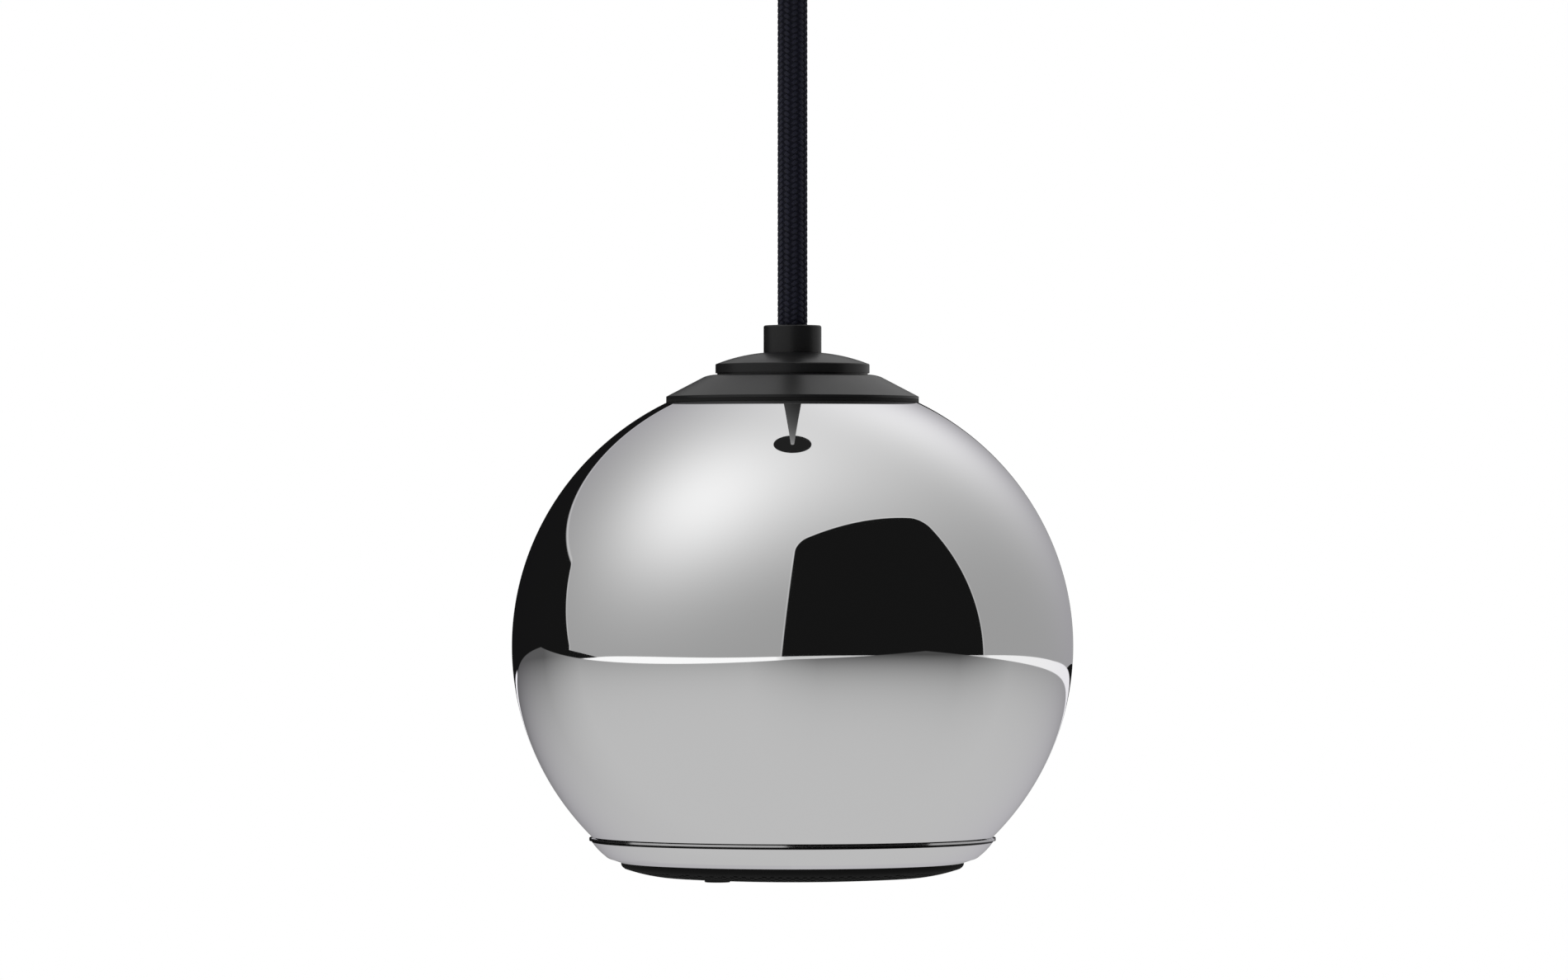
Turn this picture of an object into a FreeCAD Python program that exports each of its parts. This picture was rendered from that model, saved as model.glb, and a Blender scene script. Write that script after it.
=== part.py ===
import FreeCAD, Part
import math
import os

V = FreeCAD.Vector

# Round chrome pendant loudspeaker that hangs on its own cord from a ceiling rose.
# Millimetres, Z up. The origin is on the ceiling, at the middle of the rose's screw holes.
# The rose is drawn down from the ceiling. Everything on the ball is drawn from the ball's centre
# and is lowered by centre_z at the end.

# Fits
seat_gap = 0.05          # between curved faces that seat on each other
thread_gap = 0.05        # between a thread's two halves, drawn as plain cylinders
hole_gap = 0.2           # round a screw or stem in a clearance hole
moving_gap = 0.3         # between what moves with the cone and its suspension

# Ball
ball_d = 127.0
ball_flattening = 1.8    # how far the poles lie inside a true sphere
shell_wall = 1.5
shell_edge_d = 90.9      # outside, at the ball's lower edge
shell_edge_w = 1.65      # flat lower edge, from the outside to the opening

# Cap on top of the ball
cap_d = 57.2
cap_rim_h = 0.6
cap_slope = 27.6         # degrees
cap_slope_w = 8.6
cap_crown_w = 2.4
cap_crown_h = 0.45
cap_crown_bow = 0.09
cap_lap = 6.6            # over the edge of the shell's hole
cap_roof_t = 2.2
cap_spigot_wall = 1.9
cap_spigot_gap = 1.0     # between the spigot and the clamp plate
cap_boss_wall = 2.8
cap_gasket_t = 0.7
cap_gasket_set = 1.1     # from the edge of the shell's hole
disc_inset = 0.15        # inside the flat top of the skirt
disc_side_h = 2.5
disc_dome_h = 2.5
disc_dome_bow = 0.39
disc_edge_round = 0.3
disc_rebate = 0.4

# Cord entry and what clamps the cap to the shell
collar_wall = 1.55       # round the stem
collar_h = 6.2
collar_round = 0.45
collar_thread_h = 3.6
stem_wall = 1.3
stem_bore_step = 0.1     # of the stem's bore past the collar's
clamp_plate_lap = 3.8    # under the edge of the shell's hole
clamp_plate_t = 2.0
stem_washer_w = 3.8
stem_washer_t = 0.8
stem_nut_wall = 2.0
stem_nut_h = 5.0
stem_tail = 2.0          # thread left below the nut
anchor_wall = 4.4
anchor_h = 8.0
anchor_screw_d = 3.0

# Cord
cord_d = 6.7
cord_gap = 0.25          # round the cord in a bore
cord_show = 76.0         # between the rose's grip and the ball's collar
cord_tail = 5.0          # past the anchor
wire_d = 1.8
wire_pitch = 2.8         # between the cord's two wires where they leave its end

# Ceiling rose
rose_d = 100.0
rose_h = 25.0
rose_wall = 1.5
rose_corner = 6.0
bracket_w = 14.0
bracket_t = 2.0
bracket_tab_h = 13.0
bracket_play = 1.0       # between the bracket's ends and the cover
ceiling_hole_pitch = 60.0
ceiling_hole_d = 4.5
tongue_w = 20.0
tongue_l = 30.0
cover_screw_d = 3.0
cover_screw_head_d = 6.0
cover_screw_head_h = 2.0
cover_screw_drop = 8.0
cover_screw_tail = 1.0   # past the bracket
grip_thread_wall = 1.4
grip_shoulder_w = 3.0    # under the rose, past the thread
grip_h = 8.0
grip_round = 1.5
grip_thread_share = 0.48 # of the rose's height
grip_nut_wall = 2.5
grip_nut_h = 4.0
grip_screw_d = 4.0
block_w = 18.0
block_l = 14.0
block_h = 9.0
block_round = 0.8
block_pitch = 8.0
block_bore_d = 2.6
block_screw_d = 3.4
block_screw_h = 3.0
block_screw_set = 0.4    # below the rim of its well

# Screw slots, as shares of the screw's diameter or of its head's height
slot_w = 0.2
slot_depth = 0.22
head_slot_w = 0.4
head_slot_depth = 0.5

# Mounting ring, trim ring and grille at the bottom of the ball
ring_flange_w = 0.55     # shows past the shell's edge
ring_flange_t = 0.6
ring_edge_gap = 0.25     # dark line between the shell and the flange
ring_ledge_w = 5.1
ring_ledge_t = 2.0
ring_spigot_wall = 1.6
ring_spigot_h = 5.3
ring_fit = 0.3           # round the spigot in the shell
lug_count = 3
lug_angle = 24.0
lug_notch_angle = 26.0
lug_bite = 0.6
lug_h = 1.5
cut_past = 1.0           # how far a cutter runs past what it cuts
ring_seal_t = 0.35
ring_seal_inset = 0.75   # from the shell's outside
ring_seal_bore_gap = 0.5
trim_inset = 0.05        # from the shell's outside
trim_side_w = 3.4
trim_side_h = 3.65
trim_side_bow = 0.17
trim_lip_w = 3.05
trim_lip_h = 0.95
trim_edge_rise = 0.5     # the rounded edge starts this far up the side
trim_edge_out = 0.4
trim_edge_in = 1.0       # and ends this far along the lip
trim_edge_bow = 0.13
grille_seat_w = 1.95
grille_seat_h = 1.0
grille_fit = 0.15
grille_t = 0.8
grille_side_h = 0.45
grille_shoulder_w = 0.8
grille_shoulder_h = 0.95
grille_shoulder_bow = 0.23
grille_flank_w = 7.4
grille_flank_h = 1.75
grille_flank_bow = 0.19
grille_crown_h = 1.0
grille_pitch = 6.1
grille_hole_af = 4.4
grille_rings = 28        # square of the widest hole circle, in pitches
badge_d = 5.8
badge_t = 0.6
badge_x = -17.0

# Driver
driver_play = 0.5        # round the driver in the mounting ring
driver_flange_w = 6.2
driver_gasket_t = 1.0
driver_gasket_w = 4.3
basket_t = 1.2
basket_wall_t = 1.56
basket_step = 0.1        # of the magnet's gap past the basket
basket_shelf_h = 14.0
basket_shelf_share = 0.744   # of the cone's opening
basket_cup_share = 0.619
basket_h = 21.2
basket_window_count = 6
basket_window_angle = 40.0
basket_window_low = 3.5
basket_window_high = 12.3
surround_t = 0.4
surround_lip_w = 1.3
surround_roll_w = 4.2
cone_t = 0.5
cone_h = 10.0
cone_flare = 1.15
dust_cap_rise = 4.2
dust_cap_d = 29.0
coil_d = 25.0            # inside the former
former_t = 0.3
former_foot = 0.95       # in front of the cone's neck
coil_wire_t = 0.55
coil_h = 8.0
gap_clearance = 0.4      # each side of the coil in the magnet's gap
pole_recess = 0.5
top_plate_d = 55.0
top_plate_t = 4.0
magnet_d = 60.0
magnet_bore_d = 32.0
magnet_t = 10.0
back_plate_t = 4.0
spider_t = 0.4
spider_lip_w = 3.6
spider_neck_w = 1.0
spider_wave_h = 0.9
spider_waves = 3
driver_screw_count = 4
driver_screw_d = 2.6
driver_screw_head_d = 4.8
driver_screw_head_h = 1.6
driver_screw_bite = 2.7
driver_screw_inset = 2.0
board_w = 18.0
board_l = 11.0
board_t = 1.2
board_round = 1.0
tag_pitch = 8.0
tag_w = 3.0
tag_l = 9.0
tag_t = 0.8
tag_round_share = 0.45
tag_eye_d = 1.4
tinsel_d = 1.0
tinsel_start_share = 0.4 # of the way from the coil to the cone's rim
tinsel_loop = 3.0

# Speaker leads, as shares of their free height and of the magnet's radius
lead_straight_share = 0.3
lead_over_share = 0.78
lead_spread = 1.4

# Wadding inside the shell
wadding_t = 8.0
wadding_gap = 0.6
wadding_high_share = 0.616   # of the ball's half height
wadding_low_share = -0.097

# Worked out from the above, heights from the ball's centre
ball_a = ball_d / 2
ball_b = ball_a - ball_flattening
bore_r = cord_d / 2 + cord_gap
stem_bore_r = bore_r + stem_bore_step
stem_r = stem_bore_r + stem_wall
stem_hole_r = stem_r + hole_gap
anchor_r = bore_r + anchor_wall
collar_r = stem_r + collar_wall

cap_r = cap_d / 2
cap_shoulder_r = cap_r - cap_slope_w
cap_flat_r = cap_shoulder_r - cap_crown_w
top_hole_r = cap_r - cap_lap
clamp_plate_r = top_hole_r + clamp_plate_lap


def oval_z(r, grow=0.0):
    """Height of the ball's outside, moved out by grow, at radius r."""
    return (ball_b + grow) * math.sqrt(1 - (r / (ball_a + grow)) ** 2)


def oval_r(z, grow=0.0):
    """Radius of the ball's outside, moved out by grow, at height z."""
    return (ball_a + grow) * math.sqrt(1 - (z / (ball_b + grow)) ** 2)


cap_rim_low = oval_z(cap_r, cap_gasket_t)
cap_rim_high = cap_rim_low + cap_rim_h
cap_shoulder_z = cap_rim_high + cap_slope_w * math.tan(math.radians(cap_slope))
cap_top = cap_shoulder_z + cap_crown_h
disc_side_top = cap_top + disc_side_h
disc_top = disc_side_top + disc_dome_h
collar_top = disc_top + collar_h
clamp_plate_top = oval_z(clamp_plate_r, -shell_wall) - seat_gap
clamp_plate_low = clamp_plate_top - clamp_plate_t
stem_nut_top = clamp_plate_low - stem_washer_t
stem_nut_low = stem_nut_top - stem_nut_h
stem_low = stem_nut_low - stem_tail
anchor_low = stem_low - anchor_h
cord_end = anchor_low - cord_tail

rose_r = rose_d / 2
rose_low = -rose_h
rose_floor = rose_low + rose_wall
grip_low = rose_low - grip_h
grip_thread_r = bore_r + grip_thread_wall
grip_r = grip_thread_r + grip_shoulder_w
grip_thread_top = rose_floor + grip_thread_share * rose_h
grip_screw_z = rose_low - grip_h / 2
block_low = -bracket_t - block_h
block_mid = block_low + block_h / 2
centre_z = grip_low - cord_show - collar_top

shell_edge_r = shell_edge_d / 2
opening_r = shell_edge_r - shell_edge_w
shell_edge = -oval_z(shell_edge_r)
flange_top = shell_edge - ring_edge_gap
flange_low = flange_top - ring_flange_t
flange_r = shell_edge_r + ring_flange_w
ledge_top = flange_low + ring_ledge_t
spigot_r = opening_r - ring_fit
spigot_in = spigot_r - ring_spigot_wall
ring_bore_r = spigot_in - ring_ledge_w
trim_r = shell_edge_r - trim_inset
trim_edge_r = trim_r - trim_side_w
trim_lip_r = trim_edge_r - trim_lip_w
trim_bore_r = trim_lip_r - grille_seat_w
trim_top = flange_low - ring_seal_t
trim_edge_z = trim_top - trim_side_h
trim_low = trim_edge_z - trim_lip_h
grille_seat = trim_low + grille_seat_h
grille_r = trim_lip_r - grille_fit
grille_shoulder_r = grille_r - grille_shoulder_w
grille_flat_r = grille_shoulder_r - grille_flank_w
grille_side_low = trim_low - grille_side_h
grille_shoulder_z = grille_side_low - grille_shoulder_h
grille_flat_z = grille_shoulder_z - grille_flank_h
grille_low = grille_flat_z - grille_crown_h

driver_r = spigot_in - driver_play
driver_opening_r = driver_r - driver_flange_w
driver_screw_r = driver_r - driver_screw_inset
driver_z = ledge_top + driver_gasket_t
basket_shelf_r = basket_shelf_share * driver_opening_r
basket_cup_r = basket_cup_share * driver_opening_r
shelf_z = driver_z + basket_shelf_h
basket_top = driver_z + basket_h
top_plate_top = basket_top + top_plate_t
magnet_top = top_plate_top + magnet_t
yoke_top = magnet_top + back_plate_t
former_r = coil_d / 2 + former_t
coil_r = former_r + coil_wire_t
gap_r = coil_r + gap_clearance
coil_mid = basket_top + top_plate_t / 2
pole_r = coil_d / 2 - gap_clearance
cone_r = driver_opening_r - surround_roll_w
cone_lip_r = cone_r - surround_lip_w
neck_z = driver_z + cone_h
board_z = shelf_z + basket_t
board_y = basket_cup_r + hole_gap
tag_z = board_z + board_t
tag_y = board_y + board_l
lead_y = tag_y + tag_l / 2 - tag_w
tinsel_r = former_r + tinsel_start_share * (cone_lip_r - former_r)
wadding_high = wadding_high_share * ball_b
wadding_low = wadding_low_share * ball_b


def at(r, z):
    return V(r, 0, z)


def outline(start, *steps):
    """Closed wire in the plane of X and Z.

    A step is a corner (r, z), an arc (via, end) or, along the ball, (grow, end) with grow a number.
    """
    edges = []
    here = start
    for step in steps:
        if isinstance(step[0], tuple):
            via, end = step
            edges.append(Part.Arc(at(*here), at(*via), at(*end)).toShape())
        elif isinstance(step[1], tuple):
            grow, end = step
            edges.append(oval_edge(grow, here, end))
        else:
            end = step
            edges.append(Part.makeLine(at(*here), at(*end)))
        here = end
    edges.append(Part.makeLine(at(*here), at(*start)))
    return Part.Wire(edges)


def oval_edge(grow, start, end):
    """Stretch of the ball's outline, moved out by grow."""
    a = ball_a + grow
    b = ball_b + grow
    oval = Part.Ellipse(V(a, 0, 0), V(0, 0, b), V(0, 0, 0))
    turns = sorted(math.atan2(z / b, r / a) for r, z in (start, end))
    return Part.ArcOfEllipse(oval, *turns).toShape()


def turned(*steps, angle=360):
    """Solid turned from an outline about the Z axis."""
    return Part.Face(outline(*steps)).revolve(V(0, 0, 0), V(0, 0, 1), angle)


def rod(r, low, high):
    return Part.makeCylinder(r, high - low, V(0, 0, low))


def tube(inner_r, outer_r, low, high):
    return turned((inner_r, low), (outer_r, low), (outer_r, high), (inner_r, high))


def side_rod(r, y, z, start_x, end_x):
    """Round bar along X."""
    return Part.makeCylinder(r, end_x - start_x, V(start_x, y, z), V(1, 0, 0))


def hexagon(across_flats, low, high):
    corner_r = across_flats / math.sqrt(3)
    corners = [V(corner_r, 0, low)]
    for k in range(1, 7):
        turn = math.radians(60 * k)
        corners.append(V(corner_r * math.cos(turn), corner_r * math.sin(turn), low))
    return Part.Face(Part.makePolygon(corners)).extrude(V(0, 0, high - low))


def on_circle(x, z, r, degrees):
    turn = math.radians(degrees)
    return (x + r * math.cos(turn), z + r * math.sin(turn))


def into_end(r, z, c):
    """Rounds an outline's corner (r, z), from its side to its end. At a lower end, c is negative."""
    return (on_circle(r - abs(c), z - c, abs(c), math.copysign(45, c)), (r - abs(c), z))


def into_side(r, z, c):
    """Rounds an outline's corner (r, z), from its end to its side. At a lower end, c is negative."""
    return (on_circle(r - abs(c), z - c, abs(c), math.copysign(45, c)), (r, z - c))


def bowed(start, end, bow):
    """Arc from start to end that stands bow to the right of the straight line, or to its left below 0."""
    run = (end[0] - start[0], end[1] - start[1])
    share = bow / math.hypot(*run)
    via = ((start[0] + end[0]) / 2 + run[1] * share, (start[1] + end[1]) / 2 - run[0] * share)
    return (via, end)


def dome_rise(dome_r, rise, r):
    """How far a round dome that rises by rise at radius dome_r has risen at radius r."""
    curve_r = (dome_r ** 2 + rise ** 2) / (2 * rise)
    return curve_r - math.sqrt(curve_r ** 2 - r ** 2)


def moved(shape, x=0.0, y=0.0, z=0.0):
    copy = shape.copy()
    copy.translate(V(x, y, z))
    return copy


def spun(shape, degrees):
    return turned_about(shape, V(0, 0, 1), degrees)


def rounded_slab(slab, thickness, radius):
    """Slab with the corners seen from above rounded."""
    return slab.makeFillet(radius, [e for e in slab.Edges if abs(e.Length - thickness) < seat_gap])


def around(shape, count, first=0.0):
    """Copies of a shape, evenly spaced about the Z axis."""
    return [spun(shape, first + 360 / count * k) for k in range(count)]


def bent_wire(points, d):
    """Round wire along straight runs that tangent arcs join, each as large as its two runs allow."""
    points = [V(*p) for p in points]
    edges = []
    here = points[0]
    for before, corner, after in zip(points, points[1:], points[2:]):
        back = (before - corner).normalize()
        on = (after - corner).normalize()
        reach = 0.45 * min((before - corner).Length, (after - corner).Length)
        half_turn = (math.pi - back.getAngle(on)) / 2
        radius = reach / math.tan(half_turn)
        inward = (back + on).normalize()
        first = corner + back * reach
        last = corner + on * reach
        middle = corner + inward * (radius / math.cos(half_turn) - radius)
        edges.append(Part.makeLine(here, first))
        edges.append(Part.Arc(first, middle, last).toShape())
        here = last
    edges.append(Part.makeLine(here, points[-1]))
    section = Part.Wire(Part.makeCircle(d / 2, points[0], points[1] - points[0]))
    return Part.Wire(edges).makePipeShell([section], True, False)


def slot_cutter(d, width, depth, top):
    return Part.makeBox(d, width, depth, V(-d / 2, -width / 2, top - depth))


def pan_screw(d, length, head_d, head_h):
    """Slotted screw with its head above z = 0 and its shank below."""
    head_r = head_d / 2
    edge = head_h / 3
    shank_r = d / 2
    screw = turned(
        (0, -length), (shank_r - edge / 2, -length), (shank_r, -length + edge / 2), (shank_r, 0),
        (head_r, 0), (head_r, head_h - edge), into_end(head_r, head_h, edge), (0, head_h),
    )
    return screw.cut(slot_cutter(head_d, head_slot_w * head_h, head_slot_depth * head_h, head_h))


def grub_screw(d, length):
    """Slotted screw with no head, from z = 0 down."""
    return rod(d / 2, -length, 0).cut(slot_cutter(d, slot_w * d, slot_depth * d, 0))


def turned_about(shape, axis, degrees):
    copy = shape.copy()
    copy.rotate(V(0, 0, 0), axis, degrees)
    return copy


# Ceiling rose, from the ceiling down


def rose_cover():
    inner_r = rose_r - rose_wall
    hole = grip_thread_r + hole_gap
    cup = turned(
        (rose_r, 0), (rose_r, rose_low + rose_corner), into_end(rose_r, rose_low, -rose_corner),
        (hole, rose_low), (hole, rose_floor), (rose_r - rose_corner, rose_floor),
        into_side(inner_r, rose_floor, rose_wall - rose_corner), (inner_r, 0),
    )
    return cup.cut(side_rod(cover_screw_d / 2 + hole_gap, 0, -cover_screw_drop, -rose_d, rose_d))


def rose_bracket():
    end = rose_r - rose_wall - bracket_play
    bend = bracket_t * 1.5
    inner = bend - bracket_t
    tab_low = -bracket_tab_h
    strip = Part.Face(outline(
        (-end, tab_low), (-end, -bend), (on_circle(bend - end, -bend, bend, 135), (bend - end, 0)),
        (end - bend, 0), into_side(end, 0, bend), (end, tab_low),
        (end - bracket_t, tab_low), (end - bracket_t, -bend), into_end(end - bracket_t, -bracket_t, inner),
        (bend - end, -bracket_t), (on_circle(bend - end, -bend, inner, 135), (bracket_t - end, -bend)),
        (bracket_t - end, tab_low),
    )).extrude(V(0, bracket_w, 0))
    strip = moved(strip, y=-bracket_w / 2)
    tongue = Part.makeBox(tongue_w, tongue_l, bracket_t, V(-tongue_w / 2, -tongue_l, -bracket_t))
    bracket = strip.fuse(tongue).removeSplitter()
    for side in (-1, 1):
        x = side * ceiling_hole_pitch / 2
        bracket = bracket.cut(moved(rod(ceiling_hole_d / 2, -bracket_t, 0), x=x))
    return bracket.cut(side_rod(cover_screw_d / 2, 0, -cover_screw_drop, -rose_d, rose_d))


def rose_cover_screws():
    length = rose_wall + bracket_play + bracket_t + cover_screw_tail
    screw = pan_screw(cover_screw_d - 2 * thread_gap, length, cover_screw_head_d, cover_screw_head_h)
    screw = moved(turned_about(screw, V(0, 1, 0), 90), x=rose_r, z=-cover_screw_drop)
    return Part.makeCompound([screw, spun(screw, 180)])


def rose_grip():
    body = turned(
        (bore_r, grip_low), (grip_r - grip_round, grip_low), into_side(grip_r, grip_low, -grip_round),
        (grip_r, rose_low), (grip_thread_r, rose_low), (grip_thread_r, grip_thread_top),
        (bore_r, grip_thread_top),
    )
    hole = Part.makeCylinder(grip_screw_d / 2, grip_r, V(0, 0, grip_screw_z), V(0, 1, 0))
    return body.cut(hole)


def rose_grip_screw():
    """Nylon screw that presses on the cord."""
    screw = grub_screw(grip_screw_d - 2 * thread_gap, grip_r - cord_d / 2 - seat_gap)
    return moved(turned_about(screw, V(1, 0, 0), -90), y=grip_r, z=grip_screw_z)


def rose_grip_nut():
    high = rose_floor + grip_nut_h
    nut = hexagon(2 * (grip_thread_r + grip_nut_wall), rose_floor, high)
    return nut.cut(rod(grip_thread_r + thread_gap, rose_floor, high))


def block_places():
    """The middle of each screw of the terminal block."""
    return [(side * block_pitch / 2, block_l / 2 - tongue_l) for side in (-1, 1)]


def terminal_block():
    block = Part.makeBox(block_w, block_l, block_h, V(-block_w / 2, -tongue_l, block_low))
    block = rounded_slab(block, block_h, block_round)
    for x, y in block_places():
        bore = Part.makeCylinder(block_bore_d / 2, block_l, V(x, -tongue_l, block_mid), V(0, 1, 0))
        well = moved(rod(block_screw_d / 2, block_low, block_mid), x=x, y=y)
        block = block.cut(bore).cut(well)
    return block


def terminal_screws():
    screw = grub_screw(block_screw_d - 2 * thread_gap, block_screw_h - block_screw_set)
    screw = turned_about(screw, V(1, 0, 0), 180)
    return Part.makeCompound([moved(screw, x, y, block_low + block_screw_set) for x, y in block_places()])


def rose_lead(side):
    """One of the cord's two wires, from its cut end to the terminal block."""
    block_face = block_l - tongue_l
    return bent_wire([
        (side * wire_pitch / 2, 0, grip_thread_top),
        (side * wire_pitch / 2, 0, block_mid - wire_d / 4),
        (side * block_pitch / 2, block_face / 3, block_mid),
        (side * block_pitch / 2, block_face, block_mid),
    ], wire_d)


def cord():
    return rod(cord_d / 2, centre_z + cord_end, grip_thread_top)


# Cord entry and cap, from the ball's centre


def gland_collar():
    thread_r = stem_r + thread_gap
    thread_top = disc_top + collar_thread_h
    return turned(
        (thread_r, disc_top), (collar_r, disc_top), (collar_r, collar_top - collar_round),
        into_end(collar_r, collar_top, collar_round), (bore_r, collar_top), (bore_r, thread_top),
        (thread_r, thread_top),
    )


def cap_disc():
    r = cap_flat_r - disc_inset
    dome_edge = (r - disc_edge_round, disc_side_top)
    return turned(
        (stem_hole_r, cap_top), (r - disc_rebate, cap_top), (r - disc_rebate, cap_top + disc_rebate),
        (r, cap_top + disc_rebate), (r, disc_side_top - disc_edge_round),
        into_end(r, disc_side_top, disc_edge_round), bowed(dome_edge, (collar_r, disc_top), disc_dome_bow),
        (stem_hole_r, disc_top),
    )


def cap_skirt():
    spigot = top_hole_r - hole_gap
    spigot_low = clamp_plate_top + cap_spigot_gap
    inside = spigot - cap_spigot_wall
    roof_low = cap_top - cap_roof_t
    boss_r = stem_hole_r + cap_boss_wall
    flat_edge = (cap_flat_r, cap_top)
    shoulder = (cap_shoulder_r, cap_shoulder_z)
    return turned(
        (stem_hole_r, cap_top), flat_edge, bowed(flat_edge, shoulder, -cap_crown_bow),
        (cap_r, cap_rim_high), (cap_r, cap_rim_low), (cap_gasket_t, (spigot, oval_z(spigot, cap_gasket_t))),
        (spigot, spigot_low), (inside, spigot_low), (inside, roof_low), (boss_r, roof_low),
        (boss_r, clamp_plate_top), (stem_hole_r, clamp_plate_top),
    )


def cap_gasket():
    inner = top_hole_r + cap_gasket_set
    high = cap_gasket_t - seat_gap
    return turned(
        (inner, oval_z(inner, seat_gap)), (seat_gap, (cap_r, oval_z(cap_r, seat_gap))),
        (cap_r, oval_z(cap_r, high)), (high, (inner, oval_z(inner, high))),
    )


def cap_stem():
    """Hollow threaded stem from the collar to below the nut."""
    return tube(stem_bore_r, stem_r, stem_low, disc_top + collar_thread_h - hole_gap)


def clamp_plate():
    return tube(stem_hole_r, clamp_plate_r, clamp_plate_low, clamp_plate_top)


def stem_washer():
    return tube(stem_hole_r, stem_hole_r + stem_washer_w, stem_nut_top, clamp_plate_low)


def stem_nut():
    nut = hexagon(2 * (stem_r + stem_nut_wall), stem_nut_low, stem_nut_top)
    return nut.cut(rod(stem_r + thread_gap, stem_nut_low, stem_nut_top))


def cord_anchor():
    body = tube(bore_r, anchor_r, anchor_low, stem_low)
    return body.cut(side_rod(anchor_screw_d / 2, 0, anchor_low + anchor_h / 2, -anchor_r, anchor_r))


def anchor_screws():
    screw = grub_screw(anchor_screw_d - 2 * thread_gap, anchor_r - cord_d / 2 - seat_gap)
    screw = moved(turned_about(screw, V(0, 1, 0), 90), x=anchor_r, z=anchor_low + anchor_h / 2)
    return Part.makeCompound([screw, spun(screw, 180)])


# Ball and its front rings, from the ball's centre


def lug_sector(inner_r, outer_r, low, high, angle):
    """Part of a ring, centred on the X axis."""
    block = turned((inner_r, low), (outer_r, low), (outer_r, high), (inner_r, high), angle=angle)
    return spun(block, -angle / 2)


def shell():
    ball = turned(
        (top_hole_r, oval_z(top_hole_r)), (0.0, (shell_edge_r, shell_edge)), (opening_r, shell_edge),
        (opening_r, -oval_z(opening_r, -shell_wall)),
        (-shell_wall, (top_hole_r, oval_z(top_hole_r, -shell_wall))),
    )
    notch_r = opening_r + lug_bite + hole_gap
    notch_top = cut_past - oval_z(notch_r, -shell_wall)
    notch = lug_sector(spigot_r, notch_r, shell_edge - cut_past, notch_top, lug_notch_angle)
    for cutter in around(notch, lug_count, 180 / lug_count):
        ball = ball.cut(cutter)
    return ball


def mounting_ring():
    """Ring that turns into the shell on three lugs and carries the driver on its ledge."""
    spigot_top = flange_low + ring_spigot_h
    ring = turned(
        (ring_bore_r, flange_low), (flange_r, flange_low), (flange_r, flange_top),
        (spigot_r, flange_top), (spigot_r, spigot_top), (spigot_in, spigot_top), (spigot_in, ledge_top),
        (ring_bore_r, ledge_top),
    )
    lug_r = opening_r + lug_bite
    lug_low = -oval_z(lug_r, -shell_wall) + seat_gap
    lug = lug_sector(spigot_r - ring_spigot_wall / 2, lug_r, lug_low, lug_low + lug_h, lug_angle)
    ring = ring.multiFuse(around(lug, lug_count)).removeSplitter()
    return with_screw_holes(ring, flange_low, ledge_top)


def screw_angle():
    """First driver screw, half a space round from the X axis."""
    return 180 / driver_screw_count


def with_screw_holes(ring, low, high, r=driver_screw_d / 2 + hole_gap):
    hole = moved(rod(r, low, high), x=driver_screw_r)
    for cutter in around(hole, driver_screw_count, screw_angle()):
        ring = ring.cut(cutter)
    return ring


def ring_seal():
    seal = tube(ring_bore_r + ring_seal_bore_gap, shell_edge_r - ring_seal_inset, trim_top, flange_low)
    return with_screw_holes(seal, trim_top, flange_low)


def trim_ring():
    side_top = (trim_r, trim_top)
    side_end = (trim_edge_r + trim_edge_out, trim_edge_z + trim_edge_rise)
    lip_start = (trim_edge_r - trim_edge_in, trim_edge_z - trim_edge_rise / 2)
    ring = turned(
        (trim_bore_r, trim_top), side_top, bowed(side_top, side_end, -trim_side_bow),
        bowed(side_end, lip_start, -trim_edge_bow), (trim_lip_r, trim_low), (trim_lip_r, grille_seat),
        (trim_bore_r, grille_seat),
    )
    return with_screw_holes(ring, trim_top - driver_screw_bite - hole_gap, trim_top, driver_screw_d / 2)


def grille_places():
    """Middles of the grille's holes, in a honeycomb that leaves the badge's seat whole."""
    reach = int(math.sqrt(grille_rings)) + 2
    places = []
    for i in range(-reach, reach + 1):
        for j in range(-reach, reach + 1):
            if i * i + i * j + j * j > grille_rings:
                continue
            x = grille_pitch * (i + j / 2)
            y = grille_pitch * j * math.sqrt(3) / 2
            if math.hypot(x - badge_x, y) > (badge_d + grille_hole_af) / 2:
                places.append((x, y))
    return places


def grille():
    """Perforated plate: a flat dome, a flank and a rolled shoulder, with a short side in the trim ring."""
    t = grille_t
    crown_z = grille_low + dome_rise(grille_flat_r, grille_crown_h, grille_flat_r / 2)
    flat_edge = (grille_flat_r, grille_flat_z)
    shoulder = (grille_shoulder_r, grille_shoulder_z)
    side = (grille_r, grille_side_low)
    inner_side = (grille_r - t, grille_side_low)
    inner_shoulder = (grille_shoulder_r - t / 2, grille_shoulder_z + t)
    inner_flat = (grille_flat_r, grille_flat_z + t)
    dome = turned(
        (0, grille_low), ((grille_flat_r / 2, crown_z), flat_edge),
        bowed(flat_edge, shoulder, grille_flank_bow), bowed(shoulder, side, grille_shoulder_bow),
        (grille_r, grille_seat), (grille_r - t, grille_seat), inner_side,
        bowed(inner_side, inner_shoulder, -grille_shoulder_bow / 2),
        bowed(inner_shoulder, inner_flat, -grille_flank_bow),
        ((grille_flat_r / 2, crown_z + t), (0, grille_low + t)),
    )
    hole = hexagon(grille_hole_af, grille_low - t, grille_seat)
    return dome.cut(Part.makeCompound([moved(hole, x, y) for x, y in grille_places()]))


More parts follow.
